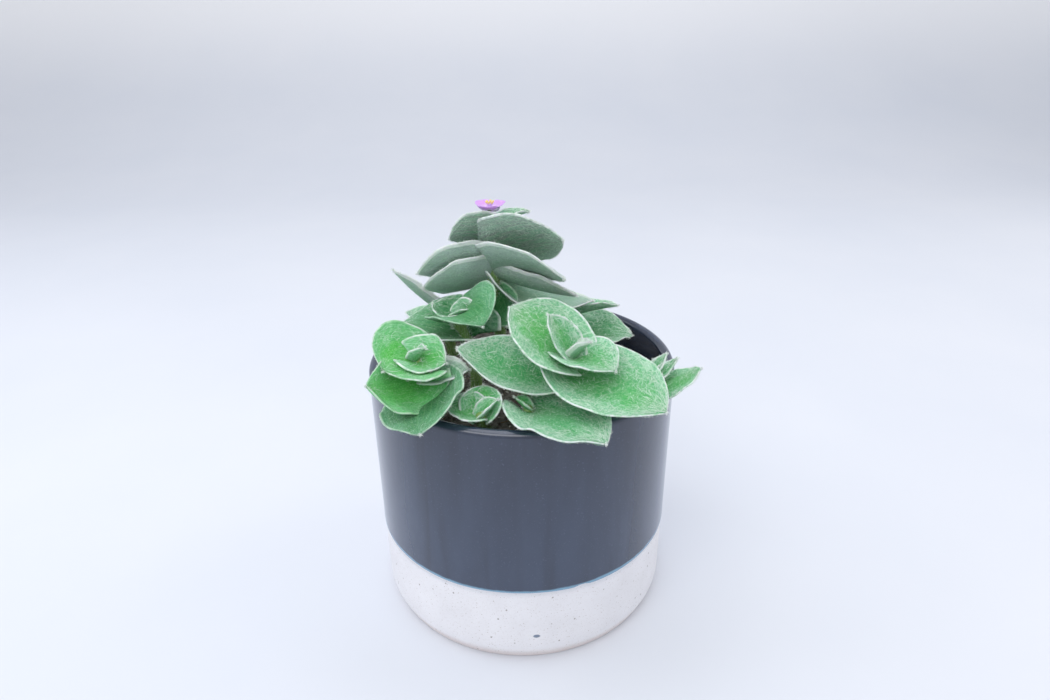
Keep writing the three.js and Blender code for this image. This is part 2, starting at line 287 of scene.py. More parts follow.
glaze = Look("slate_glaze", Specular_IOR_Level=0.62, Coat_Weight=0.35, Coat_Roughness=0.05,
             Coat_Tint=paint("e9f0ff"))
spot = glaze.place()
x, y, z = glaze.split(spot)
cloud = glaze.noise(glaze.stretch(spot, (1, 1, 0.45)), 22, 4, 0.6)
grain = glaze.noise(spot, 0.7, 2)
slate = glaze.mix(cloud, paint("303a4d"), paint("404c61"))
slate = glaze.mix(z.ramp(DEEPER_FROM, DEEPER_TO) * 0.55, slate, paint("2b3140"))
# Painted reflections: soft dark and pale vertical streaks in the glaze stand for the room mirrored in
# it.
painted_reflections = glaze.noise(glaze.stretch(spot, (1, 1, 0.12)), 13, 2, 0.5, 0.7)
slate = glaze.mix(painted_reflections.ramp(0.48, 0.66) * 0.45, slate, paint("262b38"))
slate = glaze.mix((1 - painted_reflections.ramp(0.32, 0.5)) * 0.12, slate, paint("4b586e"))
slate = glaze.mix(grain.ramp(0.62, 0.75) * 0.35, slate, paint("5c6780"))
# Painted shade: the glaze inside the wall is painted darker.
inside = 1 - (x * x + y * y).above((RADIUS - WALL + 1.2) ** 2)
slate = glaze.mix(inside * 0.35, slate, paint("1d2129"))
edge = glaze.noise(spot, 5, 2) * 0.9 + GLAZE_LINE + 0.25
thin = 1 - (z - edge).ramp(0.15, 1.1)
slate = glaze.mix(thin * 0.85, slate, paint("86b4cc"))
glaze.set(Base_Color=slate, Roughness=cloud * 0.12 + 0.1)
pits = 1 - glaze.cells(spot, 2.6)[0].ramp(0.0, 0.13)
glaze.bump(glaze.noise(spot, 9, 3) * 0.8 - pits * 0.5, 0.12, 0.6)

clay = Look("bare_clay", Roughness=0.88, Specular_IOR_Level=0.3)
spot = clay.place()
x, y, z = clay.split(spot)
pale = clay.mix(clay.noise(spot, 14, 3), paint("e5e4e8"), paint("f6f6fa"))
pale = clay.mix(clay.noise(spot, 0.9, 4, 0.7).ramp(0.5, 0.75) * 0.3, pale, paint("d0cbca"))
# Painted shade: the clay is painted warmer and darker over the bottom 7 mm, along the bevelled foot.
pale = clay.mix((1 - z.ramp(2.0, 7.0)) * 0.45, pale, paint("d9c6bb"))
# Specks of three sizes: how far apart, the share of places left bare, colour, and a shift.
SPECKS = ((1.3, 0.5, "a3968c", 0), (3.0, 0.8, "857b73", 40), (0.8, 0.5, "b0a59c", 90))
for apart, bare, dark, shift in SPECKS:
    distance, chance = clay.cells(clay.vector_math("ADD", spot, (shift, shift, shift)), apart)
    speck = (1 - distance.ramp(0.08, 0.18)) * chance.above(bare)
    pale = clay.mix(speck * 0.75, pale, paint(dark))
fleck = ((x - FLECK_X) / FLECK_WIDE) ** 2 + ((z - FLECK_Z) / FLECK_HIGH) ** 2 + y.above(0) * 9
pale = clay.mix((1 - fleck.ramp(0.5, 1.2)) * 0.9, pale, paint("6f7f96"))
clay.set(Base_Color=pale)
clay.bump(clay.noise(spot, 0.45, 3) + clay.noise(spot, 3, 2) * 0.6, 0.1, 0.5)


def glaze_edge(turn):
    """Height of the glaze's lower edge round the pot, with one small run at the front right."""
    run = math.exp(-((turn - RUN_TURN) / RUN_WIDTH) ** 2)
    waver = 0.22 * math.sin(3 * turn + 0.6) + 0.12 * math.sin(7 * turn)
    return GLAZE_LINE + waver + RUN_DROP * run


def pot_ring(turn):
    """The wall's radius and height at one turn: up the outside, over the lip and down the inside."""
    line, bare = glaze_edge(turn), RADIUS - GLAZE_STEP
    inner, lip = RADIUS - WALL, WALL / 2
    base = [(NEAR_AXIS, 0), (40, 0), (FOOT_RADIUS - 1.2, 0), (FOOT_RADIUS - 0.35, 0.3)]
    foot = [(FOOT_RADIUS, 1.0), (FOOT_RADIUS + 0.9, 3.0), (bare - 0.35, BEVEL - 0.6)]
    clay_wall = [(bare - 0.05, BEVEL + 0.8), (bare, 12), (bare, line - 3), (bare, line - 0.05)]
    bead = [(bare + 0.2, line + 0.02), (RADIUS + 0.06, line + 0.3), (RADIUS + 0.08, line + 1.2)]
    wall = [(RADIUS, line + 4), (RADIUS, 60), (RADIUS, 84), (RADIUS, 100), (RADIUS, HEIGHT - lip - 1)]
    bends = [math.pi * k / LIP_STEPS for k in range(LIP_STEPS + 1)]
    rim = [(RADIUS - lip + lip * math.cos(bend), HEIGHT - lip + lip * math.sin(bend)) for bend in bends]
    inner_wall = [(inner, 100), (inner, 92), (inner, 40), (inner, FLOOR_HEIGHT + 6)]
    bottom = [(inner - 2, FLOOR_HEIGHT + 2), (inner - 6, FLOOR_HEIGHT), (NEAR_AXIS, FLOOR_HEIGHT)]
    return base + foot + clay_wall + bead + wall + rim + inner_wall + bottom


vertices, faces, slots = [], [], []
for k in range(POT_SIDES):
    turn = 2 * math.pi * k / POT_SIDES
    ring = pot_ring(turn)
    vertices += [(r * math.cos(turn), r * math.sin(turn), h) for r, h in ring]
count = len(ring)
for k in range(POT_SIDES):
    here, after = k * count, (k + 1) % POT_SIDES * count
    for j in range(count - 1):
        faces.append((here + j, after + j, after + j + 1, here + j + 1))
        slots.append(CLAY_SLOT if j < CLAY_BANDS else GLAZE_SLOT)
pot = make_mesh("stoneware_pot", vertices, faces, [glaze, clay], slots)
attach(pot, "root")
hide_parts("pot")

# ---- Soil ----
# Dry potting mix, drawn in a little from the wall. The CAD body stays, with its hole for each stem, and
# loose crumbs, fibres of bark and a few white grains of perlite lie on it.
soil_look = Look("dry_soil", Roughness=0.95, Specular_IOR_Level=0.2)
spot = soil_look.place()
lumps = soil_look.noise(spot, 2.2, 5, 0.65)
distance, chance = soil_look.cells(spot, 1.5)
earth = soil_look.mix(lumps.ramp(0.3, 0.7), paint("45413d"), paint("8b8680"))
earth = soil_look.mix(chance.above(0.9) * (1 - distance.ramp(0.2, 0.4)), earth, paint("d8d3cc"))
# Painted shade: the soil is painted darker below 95.5 mm, deep in the pot.
painted_low_shade = 1 - soil_look.split(spot)[2].ramp(90.0, 95.5)
earth = soil_look.mix(painted_low_shade * 0.75, earth, paint("2c2825"))
soil_look.set(Base_Color=earth)
soil_look.bump(lumps + soil_look.noise(spot, 0.6, 3) * 0.5 - distance * 0.4, 0.8, 0.9)
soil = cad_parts["soil"]
soil.data.materials.clear()
soil.data.materials.append(soil_look.material)

crumb_look = Look("soil_crumbs", Roughness=0.93, Specular_IOR_Level=0.2)
spot = crumb_look.place()
kind, shade = crumb_look.split(crumb_look.attribute("crumb"))[:2]
crumb = crumb_look.mix(shade, paint("4e463f"), paint("a79d93"))
crumb = crumb_look.mix(kind.above(0.5), crumb, paint("8a6f56"))
crumb = crumb_look.mix(kind.above(1.5), crumb, paint("ebe8e2"))
dust = crumb_look.noise(spot, 0.5, 3).ramp(0.35, 0.7)
crumb_look.set(Base_Color=crumb_look.mix(dust * 0.5, crumb, paint("6a625b")))
crumb_look.bump(crumb_look.noise(spot, 0.35, 3), 0.2, 0.6)

CRUMB_COUNT, CRUMB_REACH, SINK = 1500, 55.5, 0.25
CRUMB, FIBRE, PERLITE = 0, 1, 2
OCTAHEDRON = [(0, 2, 4), (2, 1, 4), (1, 3, 4), (3, 0, 4), (2, 0, 5), (1, 2, 5), (3, 1, 5), (0, 3, 5)]
AXES = np.array([(1, 0, 0), (-1, 0, 0), (0, 1, 0), (0, -1, 0), (0, 0, 1), (0, 0, -1)], float)
corners = [vertex.co for vertex in soil.data.vertices]
ground = BVHTree.FromPolygons(corners, [face.vertices for face in soil.data.polygons])
rng = np.random.default_rng(4)
vertices, faces, crumbs = [], [], []
for k in range(CRUMB_COUNT):
    reach, turn = CRUMB_REACH * math.sqrt(rng.random()), 2 * math.pi * rng.random()
    x, y = reach * math.cos(turn), reach * math.sin(turn)
    hit = ground.ray_cast((x / 1000, y / 1000, 0.2), (0, 0, -1))[0]
    kind = rng.choice([CRUMB, FIBRE, PERLITE], p=[0.8, 0.14, 0.06])
    size = rng.uniform(0.35, 1.25) if kind != FIBRE else rng.uniform(0.25, 0.45)
    shape = AXES * size * rng.uniform(0.65, 1.25, (6, 1))
    if kind == FIBRE:
        shape[:, 0] *= rng.uniform(4, 9)
    spin = Matrix.Rotation(rng.uniform(0, 6.3), 3, "Z")
    tilt = Matrix.Rotation(rng.uniform(-0.35, 0.35), 3, "Y")
    shape = shape @ np.array(spin @ tilt).T + np.array((x, y, hit.z * 1000 + size * SINK))
    faces += [tuple(len(vertices) + i for i in face) for face in OCTAHEDRON]
    vertices += shape.tolist()
    crumbs += [(kind, rng.random(), 0)] * 6
crumbs_piece = make_mesh("soil_crumbs", vertices, faces, [crumb_look],
                         attributes={"crumb": crumbs}, smooth=False)
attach(crumbs_piece, "root")

# ---- Leafy shoots ----
# Each shoot is a fleshy stem with two ranks of keeled leaves that clasp it, one living piece. White
# woolly hairs cover its leaves: they lie cobwebby on the faces and make a dense fringe on the margins.
STEM_FOOT_RADIUS, STEM_TOP_RADIUS = 2.9, 1.5
WIDEST_AT, BASE_SHARE, TIP_SHARE, TIP_POWER = 0.42, 0.46, 0.05, 0.74
CLASP_FOLD, CLASP_REACH, CUP, LOBE, LOBE_REACH = 42, 0.13, 12, 0.15, 0.2
THICKNESS, EDGE_THINNING, TIP_THINNING = 1.15, 0.45, 0.4
RIPPLES, FINE_RIPPLES, FINE_SHARE, FULL_WAVE_LENGTH = 2.6, 31, 0.3, 24
USUAL_WAVE, USUAL_WOOL, USUAL_PURPLE = 0.3, 0.7, 0
ALONG_STEPS, ACROSS_STEPS, ARC_STEPS, SEED_SHIFT = 26, 12, 80, 60
SKIN_SLOT, STEM_SLOT, WOOL_SLOT = 0, 1, 2

# A stem is its foot, the point that it bends towards, and its top. A leaf's at is its place on the
# stem, from 0 to 1. heading, rise and roll say how it is turned, curl how far it bends down towards its
# tip, and fold how steeply its halves rise from the keel. Angles are in degrees and lengths in
# millimetres. tone runs from an old dark leaf to a young bright one, purple is how much of that tinge
# it has, wool how thick its hairs are, wave how far its margins ripple, and lobe how far its base
# reaches back beside the stem.
SHOOTS = {
    "shoot_tall": {
        "stem": [(-5, 15, 84), (-13, 12, 130), (-12, 13, 161)],
        "leaves": [
            dict(at=0.6, heading=-11, rise=-28, curl=-44, length=43,
                 width=29, roll=-1, fold=-3, tone=0.5, purple=0.1, wool=1.4),
            dict(at=0.63, heading=204, rise=4, curl=0, length=30,
                 width=28, roll=49, fold=2, lobe=0.22, tone=0.3, purple=0.7, wool=1.6),
            dict(at=0.66, heading=-30, rise=-8, curl=-10, length=39,
                 width=21, roll=-37, fold=6, tone=0.25, purple=0.55, wool=1.15),
            dict(at=0.69, heading=202, rise=18, curl=24, length=32,
                 width=26, roll=52, fold=5, tone=0.25, purple=0.6, wool=1.1),
            dict(at=0.67, heading=-45, rise=31, curl=40, length=41,
                 width=34, roll=-39, fold=-6, tone=0.25, purple=0.55, wool=1.25),
            dict(at=0.77, heading=-32, rise=37, curl=33, length=36,
                 width=35, roll=-47, fold=-4, tone=0.18, purple=1, wool=0.9),
            dict(at=0.89, heading=193, rise=23, curl=38, length=17,
                 width=26, roll=46, fold=2, tone=0.2, purple=1, wool=0.9),
            dict(at=0.96, heading=24, rise=26, curl=22, length=18,
                 width=10, roll=0, fold=18, tone=0.4, purple=0.3, wool=0.8),
            dict(at=0.54, heading=284, rise=-27, curl=-26, length=22,
                 width=20, roll=28, fold=4, tone=0.1, wool=0.12),
        ],
    },
    "shoot_mid_left": {
        "stem": [(-21, -16, 84), (-14, -13, 110), (-26, -8, 128)],
        "leaves": [
            dict(at=0.77, heading=153, rise=16, curl=22, length=30,
                 width=40, roll=-5, fold=5, lobe=0.36, tone=0.1, wool=0.35),
            dict(at=0.96, heading=-57, rise=58, curl=87, length=22,
                 width=31, roll=17, fold=12, tone=0.12, wool=0.12),
            dict(at=0.97, heading=160, rise=19, curl=-20, length=12,
                 width=23, roll=-2, fold=13, tone=0, wool=0.3),
            dict(at=0.98, heading=-16, rise=50, curl=36, length=10,
                 width=14, roll=10, fold=26, tone=0.1, wool=0.5),
        ],
    },
    "shoot_front_left": {
        "stem": [(-33, -24, 84), (-31, -34, 104), (-38.5, -38, 124)],
        "leaves": [
            dict(at=0.65, heading=271, rise=7, curl=7, length=34,
                 width=33, roll=22, fold=-1, tone=0, wave=0.6, wool=0.16),
            dict(at=0.8, heading=222, rise=-17, curl=-60, length=26,
                 width=28, roll=-38, fold=8, lobe=0.3, tone=1, wave=0.6, wool=0.18),
            dict(at=0.76, heading=-4, rise=23, curl=10, length=17,
                 width=15, roll=20, fold=14, tone=0.5, wool=1),
            dict(at=0.94, heading=212, rise=56, curl=96, length=15,
                 width=35, roll=-18, fold=4, lobe=0.3, tone=0.68, wool=0.25),
            dict(at=0.98, heading=-9, rise=8, curl=10, length=11,
                 width=24, roll=12, fold=8, lobe=0.6, tone=0.6, wool=0.4),
            dict(at=0.99, heading=-30, rise=60, curl=10, length=8,
                 width=9, roll=0, fold=30, tone=0.85),
        ],
    },
    "shoot_front": {
        "stem": [(13, -16, 84), (14, -28, 105), (19, -36, 123)],
        "leaves": [
            dict(at=0.69, heading=182, rise=3, curl=-34, length=43,
                 width=30, roll=-21, fold=9, tone=0.5, wool=0.85),
            dict(at=0.79, heading=-40, rise=7, curl=18, length=42,
                 width=38, roll=10, fold=-4, tone=0.62, wool=0.7),
            dict(at=0.92, heading=154, rise=45, curl=17, length=31,
                 width=32, roll=-19, fold=4, tone=0.85, wool=0.7),
            dict(at=0.98, heading=-38, rise=17, curl=28, length=18,
                 width=25, roll=4, fold=7, lobe=0.4, tone=0.75, wool=0.8),
            dict(at=0.98, heading=150, rise=59, curl=4, length=19,
                 width=14, roll=-20, fold=16, tone=0.9, wool=0.85),
            dict(at=0.99, heading=-30, rise=62, curl=20, length=11,
                 width=9, roll=0, fold=32, tone=0.9, wool=1),
        ],
    },
    "shoot_rim": {
        "stem": [(-12, -34, 84), (-13, -44, 98), (-15, -52, 109)],
        "leaves": [
            dict(at=0.9, heading=168, rise=25, curl=18, length=13,
                 width=17, roll=-10, fold=12, tone=0.55, wool=0.55),
            dict(at=0.86, heading=88, rise=52, curl=18, length=13,
                 width=17, roll=-8, fold=11, tone=0.4, wool=0.4),
            dict(at=0.94, heading=14, rise=50, curl=10, length=9,
                 width=9, roll=4, fold=26, tone=0.6, wool=0.6),
        ],
    },
    "shoot_front_low": {
        "stem": [(6, -34, 84), (3, -40, 97), (2, -45, 108)],
        "leaves": [
            dict(at=0.84, heading=-48, rise=24, curl=34, length=38,
                 width=34, roll=-4, fold=-7, lobe=0.08, tone=0.3, wave=0.7, wool=0.75),
            dict(at=0.96, heading=170, rise=44, curl=0, length=6.5,
                 width=7, roll=0, fold=26, tone=0.4, wool=0.2),
        ],
    },
    "shoot_right": {
        "stem": [(42, -24, 84), (43.5, -30, 97), (46.5, -34, 110.5)],
        "leaves": [
            dict(at=0.94, heading=-25, rise=13, curl=-38, length=24,
                 width=18, roll=10, fold=-12, tone=0.6, wool=0.6),
            dict(at=0.92, heading=35, rise=44, curl=-8, length=16,
                 width=8, roll=-2, fold=22, tone=0.5, wool=0.8),
            dict(at=0.97, heading=10, rise=27, curl=-32, length=16,
                 width=7, roll=19, fold=21, tone=0.5, wool=0.8),
        ],
    },
    "shoot_back_right": {
        "stem": [(17, 15, 84), (19, 16, 104), (20, 15, 121)],
        "leaves": [
            dict(at=0.58, heading=2, rise=22, curl=36, length=30,
                 width=26, roll=14, fold=8, tone=0.15, purple=0.1, wave=0.7, wool=0.6),
            dict(at=0.92, heading=-4, rise=20, curl=12, length=22,
                 width=15, roll=-14, fold=16, tone=0.3, purple=0.1),
        ],
    },
    "shoot_back_left": {
        "stem": [(-30, 26, 84), (-32, 26, 102), (-35, 25, 118)],
        "leaves": [
            dict(at=0.6, heading=140, rise=28, curl=34, length=27,
                 width=22, roll=0, fold=10, tone=0.35, purple=0.1),
            dict(at=0.95, heading=185, rise=40, curl=-12, length=29,
                 width=12, roll=34, fold=13, tone=0.6, purple=0.1, wool=1.4),
        ],
    },
    "shoot_back": {
        "stem": [(0, 38, 84), (1, 38, 100), (0, 36, 116)],
        "leaves": [
            dict(at=0.62, heading=64, rise=38, curl=56, length=32,
                 width=25, roll=0, fold=10, tone=0.4),
            dict(at=0.72, heading=168, rise=18, curl=30, length=26,
                 width=22, roll=0, fold=10, tone=0.45),
            dict(at=0.93, heading=20, rise=30, curl=30, length=18,
                 width=15, roll=0, fold=16, tone=0.7),
        ],
    },
}


leaf_look = Look("velvet_leaf", Specular_IOR_Level=0.3, Sheen_Weight=0.12, Sheen_Roughness=0.45,
                 Sheen_Tint=paint("f4fbf6"), Subsurface_Weight=0.22,
                 Subsurface_Radius=(0.0007, 0.0016, 0.0005), Subsurface_Scale=1.0)
# place is in millimetres along the leaf, across it and in from the margin. share is the same as parts
# of the leaf, u and v, and the face: 1 above and -1 below. tone is one leaf's tone, purple and wool.
spot = leaf_look.attribute("place")
inset = leaf_look.split(spot)[2]
u, v, face = leaf_look.split(leaf_look.attribute("share"))
tone, purple, woolly = leaf_look.split(leaf_look.attribute("tone"))
patch = leaf_look.noise(spot, 8, 3, 0.6)
under = 1 - face.ramp(-0.5, 0.5)
velvet = woolly.ramp(0.84, 1.0)
margin = (abs(v) * 1.1 + patch * 0.5).ramp(0.5, 1.25).most((u + patch * 0.4).ramp(0.8, 1.25))
middle = 1 - abs(v).ramp(0.0, 0.75)

# The flesh: darker and bluer in old leaves, paler towards the margin, and deep green in the keel.
green = leaf_look.mix(tone.ramp(0.0, 0.55), paint("21763b"), paint("35b146"))
green = leaf_look.mix(tone.ramp(0.45, 1.0), green, paint("56b836"))
green = leaf_look.mix(tone.ramp(0.9, 1.0) * 0.6, green, paint("62d672"))
green = leaf_look.mix(woolly.ramp(0.4, 0.9) * 0.55, green, paint("2dab72"))
green = leaf_look.mix(patch.ramp(0.36, 0.62) * (0.12 + woolly * 0.35), green, paint("4fac74"))
green = leaf_look.mix(margin * (0.35 + woolly.ramp(0.2, 0.8) * 0.35), green, paint("8acba4"))
deep = middle * (1 - u.ramp(0.05, 0.7)) * (1 - under * 0.7)
green = leaf_look.mix(deep * (0.72 - tone * 0.6), green, paint("1f6a2c"))
green = leaf_look.mix(middle * tone * 0.35, green, paint("4fa82c"))
veins = (v * 38 + leaf_look.noise(spot, 6, 2) * 3).sin().ramp(0.55, 1.0)
green = leaf_look.mix(veins * (0.15 - woolly * 0.06), green, paint("93cf86"))

# The purple tinge, in streaks along the leaf.
combed = leaf_look.noise(leaf_look.stretch(spot, (0.5, 4.2, 0)), 1.0, 5, 0.7, 0.6)
streaks = leaf_look.noise(leaf_look.stretch(spot, (0.12, 1.1, 0)), 1.0, 3, 0.6, 0.3)
violet = leaf_look.mix(combed.ramp(0.35, 0.65), paint("554c50"), paint("84797f"))
green = leaf_look.mix(purple * (0.4 + streaks.ramp(0.38, 0.6) * 0.5), green, violet)

# The hairs too fine to be mesh: a combed film, a web of crossing strands, and felt between them.
tangled = leaf_look.noise(leaf_look.stretch(spot, (2.6, 1.2, 0)), 1.0, 5, 0.75, 1.8)
web = leaf_look.strands(leaf_look.stretch(spot, (0.3, 1, 0)), 2.2, 0.045)
web = web.most(leaf_look.strands(leaf_look.stretch(spot, (0.8, 0.4, 0)), 1.8, 0.045))
thick = (0.3 + margin * 0.75) * (1 - patch.ramp(0.45, 0.68) * middle * 0.5)
film = combed.ramp(0.5, 0.72) * 0.35 + tangled.ramp(0.54, 0.74) * 0.3
green = leaf_look.mix(woolly * 0.05 + under * woolly * 0.2, green, paint("a9cdb8"))
green = leaf_look.mix(velvet * (0.08 + tangled * 0.3 + margin * 0.45), green, paint("bcc8cb"))
green = leaf_look.mix((1 - combed.ramp(0.28, 0.52)) * 0.25, green, paint("1f5c31"))
felt = leaf_look.noise(spot, 0.62, 3, 0.75)
green = leaf_look.mix((1 - felt.ramp(0.32, 0.5)) * 0.35, green, paint("1f6a34"))
green = leaf_look.mix(felt.ramp(0.5, 0.68) * (0.35 + margin * 0.15), green, paint("b7e0ba"))
wool = (film * 0.5 + web * (0.65 - velvet * 0.4) * (1 - purple * 0.8)) * thick * woolly
green = leaf_look.mix(wool.least(0.85), green, paint("d3eedb"))
green = leaf_look.mix(woolly.ramp(1.2, 2.2) * 0.6, green, paint("d3dfe4"))

# The pale rim, where the fringe is rooted.
rim = 1 - (inset - tangled * 0.7 - velvet).ramp(-0.3, 0.35)
broken = 0.3 + velvet * 0.45 + leaf_look.noise(spot, 2.6, 3).ramp(0.36, 0.58) * 0.6
green = leaf_look.mix(rim * broken * woolly.ramp(-0.1, 0.4), green, paint("e8f0ec"))
leaf_look.set(Base_Color=green, Roughness=0.55 + wool.least(1) * 0.3)
leaf_look.bump(combed * 0.6 + tangled * 0.4 + felt * 0.4 + web * 0.25 - veins * 0.25, 0.3, 0.8)

stem_look = Look("fleshy_stem", Roughness=0.45, Subsurface_Weight=0.15,
                 Subsurface_Radius=(0.0008, 0.0014, 0.0005), Subsurface_Scale=1.0)
spot = stem_look.attribute("place")
purple = stem_look.split(stem_look.attribute("tone"))[1]
streak = stem_look.noise(stem_look.stretch(spot, (0.2, 2.2, 1)), 1.0, 4, 0.6)
flesh = stem_look.mix(streak.ramp(0.35, 0.65), paint("5c8a3e"), paint("93b869"))
flesh = stem_look.mix((purple * 0.8 + 0.12) * streak.ramp(0.4, 0.6), flesh, paint("6d5468"))
down = stem_look.noise(spot, 0.5, 3).ramp(0.55, 0.7)
stem_look.set(Base_Color=stem_look.mix(down * 0.5, flesh, paint("d5e2d2")))
stem_look.bump(streak, 0.25, 0.5)

wool_look = Look("white_wool", Roughness=0.7, Specular_IOR_Level=0.25, Sheen_Weight=0.3)
spot = wool_look.attribute("place")
white = wool_look.split(wool_look.attribute("share"))[0]
thread = wool_look.mix(white, paint("8fc79a"), paint("f4f9f6"))
wool_look.set(Base_Color=wool_look.mix(wool_look.noise(spot, 3, 2) * 0.4, thread, paint("dfeae4")))


def bend_point(stem, t):
    """A point on the stem's curve, from its foot (0) to its top (1)."""
    foot, middle, top = (np.array(p, float) for p in stem)
    t = np.asarray(t, float)[..., None]
    return (1 - t) ** 2 * foot + 2 * t * (1 - t) * middle + t ** 2 * top


def unit(vectors):
    """The same directions, each one long."""
    return vectors / np.maximum(np.linalg.norm(vectors, axis=-1, keepdims=True), 1e-9)


def between(at, known_at, rows):
    """Points or directions read off between the rows of a table."""
    return np.stack([np.interp(at, known_at, rows[:, k]) for k in range(3)], -1)


def tube_faces(bands, sides):
    """The faces of a closed tube: bands of quads from ring to ring, and a cap at each end."""
    faces = []
    for i in range(bands):
        here, after = i * sides, (i + 1) * sides
        for j in range(sides):
            k = (j + 1) % sides
            faces.append((here + j, here + k, after + k, after + j))
    last = bands * sides
    return faces + [tuple(range(sides))[::-1], tuple(range(last, last + sides))]


class Blade:
    """One leaf's middle surface, as a function of u from base to tip and v across it, -1 to 1."""

    def __init__(self, stem, leaf, seed):
        self.leaf, self.seed = leaf, seed
        self.thickness = leaf.get("thickness", THICKNESS)
        heading = math.radians(leaf["heading"])
        self.out = np.array([math.cos(heading), math.sin(heading), 0])
        self.left = np.array([-self.out[1], self.out[0], 0])
        self.up = np.array([0, 0, 1.0])
        self.keel_at = np.linspace(0, 1, ARC_STEPS + 1)
        middles = (self.keel_at[1:] + self.keel_at[:-1]) / 2
        slope = np.radians(leaf["rise"] - leaf["curl"] * middles)[:, None]
        strides = (np.cos(slope) * self.out + np.sin(slope) * self.up) * leaf["length"] / ARC_STEPS
        root = bend_point(stem, leaf["at"])
        self.keel = np.vstack([root, root + np.cumsum(strides, axis=0)])

    def half_width(self, u):
        """Half the leaf's width, in millimetres: it swells from a broad base and tapers to a point."""
        swell = np.minimum(u / WIDEST_AT, 1)
        taper = np.clip((u - WIDEST_AT) / (1 - WIDEST_AT), 0, 1)
        share = BASE_SHARE + (1 - BASE_SHARE) * np.sqrt(1 - (1 - swell) ** 2)
        return self.leaf["width"] / 2 * np.maximum(share * (1 - taper ** 2) ** TIP_POWER, TIP_SHARE)

    def surface(self, u, v):
        """Points of the middle surface, in millimetres."""
        leaf = self.leaf
        centre = between(u, self.keel_at, self.keel)
        slope = np.radians(leaf["rise"] - leaf["curl"] * u)[..., None]
        along = np.cos(slope) * self.out + np.sin(slope) * self.up
        roll = math.radians(leaf["roll"])
        level = np.cross(along, self.left)
        side = self.left * math.cos(roll) + level * math.sin(roll)
        face = np.cross(along, side)
        clasp = np.exp(-u / CLASP_REACH)
        fold = leaf["fold"] + (leaf.get("clasp", CLASP_FOLD) - leaf["fold"]) * clasp
        lean = np.radians(fold + CUP * np.abs(v))
        half = self.half_width(u)
        # From 0 at the keel to 1 at the margin, as abs(v) is, but rounded at the keel.
        lift = (np.sqrt(v * v + 0.02) - 0.141) / 0.869
        wave = leaf.get("wave", USUAL_WAVE) * min(1, leaf["length"] / FULL_WAVE_LENGTH)
        ripple = wave * v * v * np.sin(2 * math.pi * (RIPPLES * u + self.seed) + 1.5 * v)
        ripple += FINE_SHARE * wave * v * v * np.sin(FINE_RIPPLES * u + 4 * v + self.seed * 40)
        lobe = leaf.get("lobe", LOBE) * leaf["length"] * np.exp(-u / LOBE_REACH) * v * v
        place = centre + side * (half * v * np.cos(lean))[..., None]
        place += face * (half * lift * np.sin(lean) + ripple * np.minimum(u * 4, 1))[..., None]
        return place - along * lobe[..., None]

    def normal(self, u, v):
        """The direction that the upper face looks in."""
        step = 0.01
        du = self.surface(np.minimum(u + step, 1), v) - self.surface(np.maximum(u - step, 0), v)
        dv = self.surface(u, np.minimum(v + step, 1)) - self.surface(u, np.maximum(v - step, -1))
        return unit(np.cross(du, dv))

    def body(self):
        """The blade's closed skin: points, faces and the numbers that its material reads."""
        u = np.linspace(0, 1, ALONG_STEPS + 1)[:, None]
        v = np.sin(np.linspace(math.pi / 2, -math.pi / 2, ACROSS_STEPS + 1))[None, :]
        u, v = np.broadcast_arrays(u, v)
        middle, normal = self.surface(u, v), self.normal(u, v)
        thick = self.thickness * (1 - EDGE_THINNING * v * v) * (1 - TIP_THINNING * u ** 4)
        offset = normal * thick[..., None] / 2
        outward = unit(middle[:, [0, -1]] - middle[:, [1, -2]])
        edge = middle[:, [0, -1]] + outward * thick[:, [0, -1], None] / 2
        above, below = middle + offset, (middle - offset)[:, ::-1]
        rings = np.concatenate([above, edge[:, 1:], below, edge[:, :1]], axis=1)
        across = np.concatenate([v, v[:, -1:], v[:, ::-1], v[:, :1]], axis=1)
        on_edge = np.zeros((len(v), 1))
        side = np.concatenate([np.ones(v.shape), on_edge, -np.ones(v.shape), on_edge], axis=1)
        along = np.broadcast_to(u[:, :1], across.shape)
        half = self.half_width(along)
        run = along * self.leaf["length"] + self.seed * SEED_SHIFT
        place = np.stack([run, across * half, half * (1 - np.abs(across))], -1)
        share = np.stack([along, across, side], -1)
        faces = tube_faces(ALONG_STEPS, rings.shape[1])
        return rings.reshape(-1, 3), faces, place.reshape(-1, 3), share.reshape(-1, 3)


